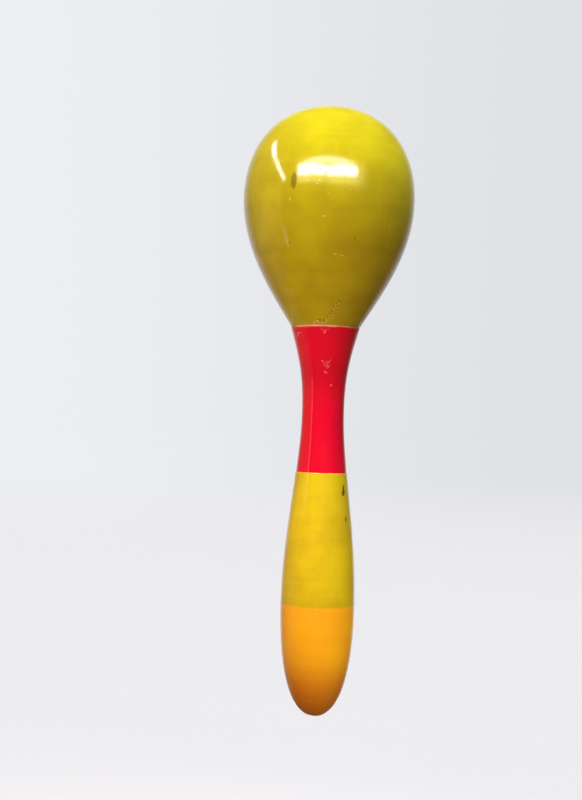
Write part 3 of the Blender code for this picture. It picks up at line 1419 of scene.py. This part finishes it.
@dataclass
class Studio:
    """The camera, the lamps, the air and the floor.

    Attributes:
        camera_place: where the camera stands.
        camera_pitch: how far it looks up.
        camera_roll: how far it is turned about its line of sight.
        lens: its focal length, in millimetres.
        nearest: the least distance at which it sees.
        floor_height: of the floor.
        floor_radius: of the floor.
        floor_sides: of the floor's disc.
        floor_roughness: of the floor.
        behind_span: how far ahead a mirrored direction points where the pale wall starts and is full.
        left_span: how far right a direction points where the bright left side starts and is full.
        left_lean: how much further left a direction counts for pointing ahead.
        wall_span: how far right a direction points at the wall's left and right colours.
        fill_span: how far right a direction points at the left and right fills.
        left_wall: the wall's colour on the left.
        right_wall: the wall's colour on the right.
        room_colour: of the dim room, in the gloss.
        left_room: of its bright left side, in the gloss.
        left_floor: of the floor on that side, in the gloss.
        left_fill: even light from the left.
        right_fill: even light from the right.
        floor_colour: of the floor below the rattle.
        floor_share: of the wall's colour that the floor takes far away.
        floor_fade: distances between which it turns from the one into the other.
        floor_bounce: the floor's colour where it throws light back.
        key: the light from above.
        lamps: the soft lamps.
    """

    camera_place: tuple[float, float, float] = (-0.00872, -0.300, 0.03001)
    camera_pitch: float = math.radians(1.28)
    camera_roll: float = math.radians(1.693)
    lens: float = 50.0
    nearest: float = 0.01
    floor_height: float = -0.20
    floor_radius: float = 30.0
    floor_sides: int = 96
    floor_roughness: float = 0.9
    behind_span: tuple[float, float] = (0.60, 0.99)
    left_span: tuple[float, float] = (-0.86, -0.985)
    left_lean: float = 0.6
    wall_span: tuple[float, float] = (-0.25, 0.25)
    fill_span: tuple[float, float] = (-0.8, 0.8)
    left_wall: Colour = (0.84, 0.855, 0.89)
    right_wall: Colour = (0.745, 0.755, 0.785)
    room_colour: Colour = (0.07, 0.07, 0.08)
    left_room: Colour = (0.34, 0.27, 0.17)
    left_floor: Colour = (0.25, 0.215, 0.15)
    left_fill: Colour = (0.06, 0.05, 0.045)
    right_fill: Colour = (0.085, 0.095, 0.055)
    floor_colour: Colour = (0.555, 0.55, 0.575)
    floor_share: Colour = (0.661, 0.662, 0.673)
    floor_fade: tuple[float, float] = (0.9, 5.0)
    floor_bounce: Colour = (0.11, 0.070, 0.042)
    key: KeyLight = KeyLight()
    lamps: tuple[Lamp, ...] = (
        Lamp("side_fill", -27.0, 12.7, 0.35, (0.21, 0.21), 4.45, (1.0, 0.75, 0.56), LampReach.COLOUR),
        Lamp("back_fill", 165.0, 15.0, 0.35, (0.21, 0.21), 5.0, (1.0, 0.87, 0.72), LampReach.COLOUR),
        Lamp(
            "low_front", -25.0, -35.0, 0.10, (0.05, 0.05), 3.2, (1.0, 0.70, 0.50), LampReach.COLOUR,
            aim=0.05,
        ),
        Lamp(
            "low_card", 62.0, -12.0, 0.06, (0.03, 0.03), 2.9, (1.0, 0.90, 0.75), LampReach.COLOUR,
            aim=-0.030,
        ),
        Lamp(
            "window_left", -25.4, 24.0, 0.9, (0.65, 0.205), 29.0, WHITE, LampReach.GLOSS,
            feather=(0.12, 0.28), ragged=0.5,
        ),
        Lamp(
            "window_right", 14.9, 23.6, 0.9, (0.68, 0.205), 29.0, WHITE, LampReach.GLOSS,
            feather=(0.12, 0.28), ragged=0.5,
        ),
        Lamp(
            "sill_left", -25.4, 14.6, 0.9, (0.65, 0.094), 2.9, WARM, LampReach.GLOSS,
            feather=(0.12, 0.18), ragged=0.6,
        ),
        Lamp(
            "sill_right", 14.9, 14.6, 0.9, (0.68, 0.094), 2.9, WARM, LampReach.GLOSS,
            feather=(0.12, 0.18), ragged=0.6,
        ),
        Lamp(
            "upper_pane", -4.3, 33.4, 0.9, (1.46, 0.18), 10.0, CREAM, LampReach.GLOSS,
            feather=(0.32, 0.35), ragged=0.2,
        ),
        Lamp(
            "side_panel", -95.0, 0.0, 0.112, (0.145, 0.085), 1.2, LEMON, LampReach.GLOSS,
            aim=0.0825, feather=(0.012, 0.25), tail=0.80,
        ),
        Lamp("glow_left", -25.5, 23.5, 0.92, (0.90, 0.48), 5.0, WARM, LampReach.GLOSS, feather=(0.30, 0.40)),
        Lamp("glow_right", 21.0, 22.0, 0.92, (1.08, 0.56), 5.0, WARM, LampReach.GLOSS, feather=(0.30, 0.40)),
        Lamp(
            "strip_far", -100.3, 36.5, 1.5, (0.78, 0.15), 19.0, WHITE, LampReach.GLOSS,
            roll=-25.7, feather=(0.30, 0.30),
        ),
        Lamp(
            "strip_near", -74.0, 23.2, 1.5, (0.80, 0.12), 19.0, WHITE, LampReach.GLOSS,
            roll=-35.2, feather=(0.15, 0.30),
        ),
        Lamp(
            "slit", -63.0, 0.0, 0.12, (0.011, 0.037), 1.9, WHITE, LampReach.GLOSS,
            aim=0.0365, feather=(0.3, 0.3),
        ),
    )

    def place_camera(self) -> None:
        """Makes the camera at the photograph's viewing angle."""
        data = bpy.data.cameras.new("camera")
        data.lens = self.lens
        data.clip_start = self.nearest
        camera = bpy.data.objects.new("camera", data)
        tilt = Matrix.Rotation(math.pi / 2 + self.camera_pitch, 4, "X")
        roll = Matrix.Rotation(self.camera_roll, 4, "Z")
        camera.matrix_world = Matrix.Translation(self.camera_place) @ tilt @ roll
        bpy.context.scene.collection.objects.link(camera)
        bpy.context.scene.camera = camera

    def wall(self, sketch: NodeSketch, right: Socket, share: Colour = (1.0, 1.0, 1.0)) -> Socket:
        """The wall's colour for how far right a direction points, each channel times its share."""
        ends = [tuple(map(math.prod, zip(share, colour))) for colour in (self.left_wall, self.right_wall)]
        return sketch.mix(sketch.step(right, *self.wall_span), *ends)

    def beside(self, sketch: NodeSketch, right: Socket, ahead: Socket) -> Socket:
        """How far a direction points to the bright left side, from 0 to 1."""
        leaning = sketch.math("MULTIPLY_ADD", sketch.math("MAXIMUM", ahead, 0.0), -self.left_lean, right)
        return sketch.step(leaning, *self.left_span)

    def shown(self, sketch: NodeSketch, rays: Any, ahead: Socket) -> Socket:
        """How far a ray sees the pale wall and floor themselves, from 0 to 1.

        Args:
            sketch: the nodes.
            rays: the outputs of a Light Path node.
            ahead: how far away from the camera the direction points.

        Returns:
            The share's socket.
        """
        mirrored = sketch.math("MULTIPLY", sketch.step(ahead, *self.behind_span), rays["Is Glossy Ray"])
        seen = sketch.math("MAXIMUM", rays["Is Camera Ray"], mirrored)
        return sketch.math("MAXIMUM", seen, rays["Is Transmission Ray"])

    def fill_air(self) -> None:
        """Makes the world: a pale wall behind, a dim room in front of it, and an even fill."""
        world = bpy.data.worlds.new("studio_air")
        world.use_nodes = True
        bpy.context.scene.world = world
        sketch = NodeSketch(world.node_tree)
        rays = sketch.add("LightPath").outputs
        right, ahead, _ = sketch.parts(sketch.add("TexCoord").outputs["Generated"])
        fill = sketch.mix(sketch.step(right, *self.fill_span), self.left_fill, self.right_fill)
        mirrored = sketch.mix(self.beside(sketch, right, ahead), self.room_colour, self.left_room)
        room = sketch.mix(rays["Is Glossy Ray"], fill, mirrored)
        colour = sketch.mix(self.shown(sketch, rays, ahead), room, self.wall(sketch, right))
        sketch.feed(world.node_tree.nodes["Background"].inputs["Color"], colour)

    def lay_floor(self) -> None:
        """Lays the floor, pale where it is seen and dimmer where it throws light back."""
        shape = bmesh.new()
        bmesh.ops.create_circle(shape, cap_ends=True, segments=self.floor_sides, radius=self.floor_radius)
        bmesh.ops.translate(shape, vec=(0.0, 0.0, self.floor_height), verts=shape.verts)
        sketch = Dressing("studio_floor")
        rays = sketch.add("LightPath").outputs
        right, ahead, _ = sketch.parts(sketch.vector("NORMALIZE", sketch.coordinates))
        distance = sketch.add("VectorMath", sketch.coordinates, operation="LENGTH").outputs["Value"]
        far = sketch.step(distance, *self.floor_fade)
        seen = sketch.mix(far, self.floor_colour, self.wall(sketch, right, self.floor_share))
        beside = sketch.math("MULTIPLY", self.beside(sketch, right, ahead), rays["Is Glossy Ray"])
        dim = sketch.mix(beside, self.floor_bounce, self.left_floor)
        sketch.feed(sketch.shader["Base Color"], sketch.mix(self.shown(sketch, rays, ahead), dim, seen))
        sketch.shader["Roughness"].default_value = self.floor_roughness
        sketch.shader["Specular IOR Level"].default_value = 0.0
        floor = piece_of("studio_floor", shape, [sketch.material])

    def build(self) -> None:
        """Sets up the whole studio."""
        bpy.context.scene.view_settings.view_transform = "Standard"
        self.place_camera()
        self.fill_air()
        self.lay_floor()
        self.key.hang()
        for lamp in self.lamps:
            lamp.hang()


def main() -> None:
    """Builds the rattle on its frame, then the studio."""
    logging.basicConfig(level=logging.INFO, format="%(name)s: %(message)s")
    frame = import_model()
    effects = Effects()
    made = [
        TurnedHead.from_frame().build(effects),
        TurnedHandle.from_frame().build(effects),
        GlueBead.from_frame().build(effects),
        *Pellets.from_frame(frame["nodes"]).build(effects),
    ]
    for piece in made:
        LOG.info("%s: %d faces", piece.name, len(piece.data.polygons))
    Studio().build()


if __name__ == "__main__":
    main()
